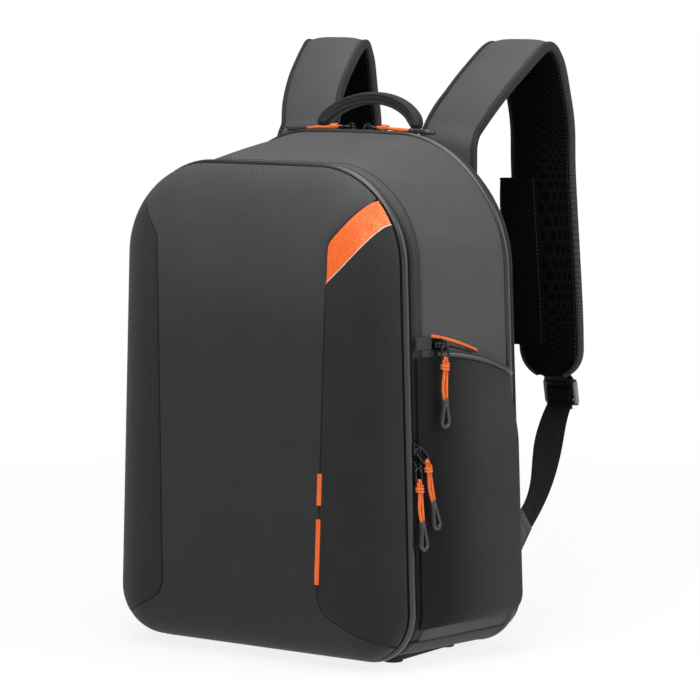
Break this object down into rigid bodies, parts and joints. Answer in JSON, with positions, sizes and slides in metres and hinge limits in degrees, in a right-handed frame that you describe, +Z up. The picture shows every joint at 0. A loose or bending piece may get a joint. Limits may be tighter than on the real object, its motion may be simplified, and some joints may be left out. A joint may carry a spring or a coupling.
{
  "type": "drone backpack",
  "caption": "Hard-shell backpack that carries a camera drone, with a moulded front that opens sideways, a padded rear panel with straps, and side pockets.",
  "frame": {"origin": "middle of the bounding box in plan, on the ground under the feet", "axes": "+Z up, the moulded front faces -Y, the straps are on the +Y side, +X is to the right as seen from the front"},
  "size_m": [0.3516, 0.3441, 0.5122],
  "materials": {
    "air_mesh": "black air mesh",
    "base_rubber": "moulded black rubber",
    "black_metal": "black painted cast metal",
    "buckle_plastic": "moulded plastic",
    "coated_twill": "matte coated twill",
    "foam_lining": "felted lining over foam",
    "grip_rubber": "moulded grey rubber",
    "orange_trim": "bright reflective trim and braided cord",
    "piping": "satin covered piping",
    "shell_fabric": "moulded shell with a matte coated skin",
    "strap_fabric": "matte coated fabric over foam",
    "stretch_fabric": "matte stretch fabric",
    "webbing": "black woven webbing",
    "zip_tape": "black zip tape with a moulded coil"
  },
  "bodies": {
    "pack_body": {"base_plate": "base_rubber", "compartment_wall": "foam_lining", "front_hinge_tape": "zip_tape", "front_zip_body_side": "zip_tape", "gusset": "coated_twill", "left_pocket": "stretch_fabric", "left_pocket_bead": "piping", "padded_shelf_lower": "foam_lining", "padded_shelf_upper": "foam_lining", "rear_hinge_tape": "zip_tape", "rear_piping": "piping", "rear_zip_body_side": "zip_tape", "right_pocket": "stretch_fabric", "right_pocket_accent_cord": "orange_trim", "right_pocket_bead": "piping", "right_pocket_zip": "zip_tape", "right_pocket_zip_tab": "zip_tape"},
    "front_shell": {"front_shell_liner": "foam_lining", "front_panel_centre": "shell_fabric", "front_panel_left": "shell_fabric", "front_panel_right": "shell_fabric", "front_accent_panel": "orange_trim", "seam_strip_lower": "orange_trim", "seam_strip_upper": "orange_trim", "front_zip_shell_side": "zip_tape", "shell_mesh_pocket": "air_mesh", "front_piping": "piping"},
    "back_panel": {"back_panel": "coated_twill", "right_back_pad": "air_mesh", "left_back_pad": "air_mesh", "lumbar_pad": "air_mesh", "rear_zip_panel_side": "zip_tape", "laptop_sleeve": "foam_lining", "right_strap": "strap_fabric", "left_strap": "strap_fabric", "right_anchor_tab": "coated_twill", "left_anchor_tab": "coated_twill", "right_webbing": "webbing", "left_webbing": "webbing", "right_strap_flap": "air_mesh"},
    "grab_handle": {"grab_handle": "strap_fabric"},
    "right_lock": {"right_ladder_lock": "buckle_plastic"},
    "left_lock": {"left_ladder_lock": "buckle_plastic"},
    "front_upper_slider": {"front_upper_slider": "black_metal"},
    "front_upper_pull": {"front_upper_pull_cord": "orange_trim", "front_upper_pull_grip": "grip_rubber"},
    "front_lower_slider": {"front_lower_slider": "black_metal"},
    "front_lower_pull": {"front_lower_pull_cord": "orange_trim", "front_lower_pull_grip": "grip_rubber"},
    "top_right_slider": {"top_right_slider": "black_metal"},
    "top_right_pull": {"top_right_pull_cord": "orange_trim", "top_right_pull_grip": "grip_rubber"},
    "top_left_slider": {"top_left_slider": "black_metal"},
    "top_left_pull": {"top_left_pull_cord": "orange_trim", "top_left_pull_grip": "grip_rubber"},
    "right_pocket_slider": {"right_pocket_slider": "black_metal"},
    "right_pocket_pull": {"right_pocket_pull_cord": "orange_trim", "right_pocket_pull_grip": "grip_rubber"}
  },
  "joints": [
    {"name": "front_shell_opening", "type": "hinge", "parent": "pack_body", "child": "front_shell", "pos_m": [-0.13974, -0.11804, 0.20775], "axis": [-0.0299, 0, -0.9996], "range_deg": [0, 110]},
    {"name": "back_panel_opening", "type": "hinge", "parent": "pack_body", "child": "back_panel", "pos_m": [0, 0.00846, 0.006], "axis": [-1, 0, 0], "range_deg": [0, 24]},
    {"name": "grab_handle_flop", "type": "hinge", "parent": "back_panel", "child": "grab_handle", "pos_m": [0, 0.02186, 0.43279], "axis": [1, 0, 0], "range_deg": [-12, 35], "stiffness_Nm_per_rad": 0.05},
    {"name": "right_lock_tilt", "type": "hinge", "parent": "back_panel", "child": "right_lock", "pos_m": [0.1082, 0.16596, 0.209], "axis": [1, 0, 0], "range_deg": [0, 30]},
    {"name": "left_lock_tilt", "type": "hinge", "parent": "back_panel", "child": "left_lock", "pos_m": [-0.1082, 0.16596, 0.209], "axis": [1, 0, 0], "range_deg": [0, 30]},
    {"name": "front_upper_slider_run", "type": "slide", "parent": "pack_body", "child": "front_upper_slider", "axis": [-0.0299, 0, 0.9996], "range_m": [0, 0.12]},
    {"name": "front_upper_pull_swing", "type": "hinge", "parent": "front_upper_slider", "child": "front_upper_pull", "pos_m": [0.14488, -0.11804, 0.18313], "axis": [0.0021, -0.9976, -0.0697], "range_deg": [0, 45]},
    {"name": "front_lower_slider_run", "type": "slide", "parent": "pack_body", "child": "front_lower_slider", "axis": [0.0299, 0, -0.9996], "range_m": [0, 0.085]},
    {"name": "front_lower_pull_swing", "type": "hinge", "parent": "front_lower_slider", "child": "front_lower_pull", "pos_m": [0.14534, -0.11804, 0.16763], "axis": [0, -1, 0], "range_deg": [0, 90]},
    {"name": "top_right_slider_run", "type": "slide", "parent": "pack_body", "child": "top_right_slider", "axis": [1, 0, 0], "range_m": [0, 0.03]},
    {"name": "top_right_pull_swing", "type": "hinge", "parent": "top_right_slider", "child": "top_right_pull", "pos_m": [0.0085, 0.00846, 0.43738], "axis": [0, -1, 0], "range_deg": [0, 90]},
    {"name": "top_left_slider_run", "type": "slide", "parent": "pack_body", "child": "top_left_slider", "axis": [-1, 0, 0], "range_m": [0, 0.03]},
    {"name": "top_left_pull_swing", "type": "hinge", "parent": "top_left_slider", "child": "top_left_pull", "pos_m": [-0.0085, 0.00846, 0.43738], "axis": [0, 1, 0], "range_deg": [0, 90]},
    {"name": "right_pocket_slider_run", "type": "slide", "parent": "pack_body", "child": "right_pocket_slider", "axis": [0.1531, 0.9751, -0.1602], "range_m": [0, 0.01]},
    {"name": "right_pocket_pull_swing", "type": "hinge", "parent": "right_pocket_slider", "child": "right_pocket_pull", "pos_m": [0.15252, -0.08922, 0.26591], "axis": [-0.15, -0.9887, 0], "range_deg": [0, 90]}
  ]
}
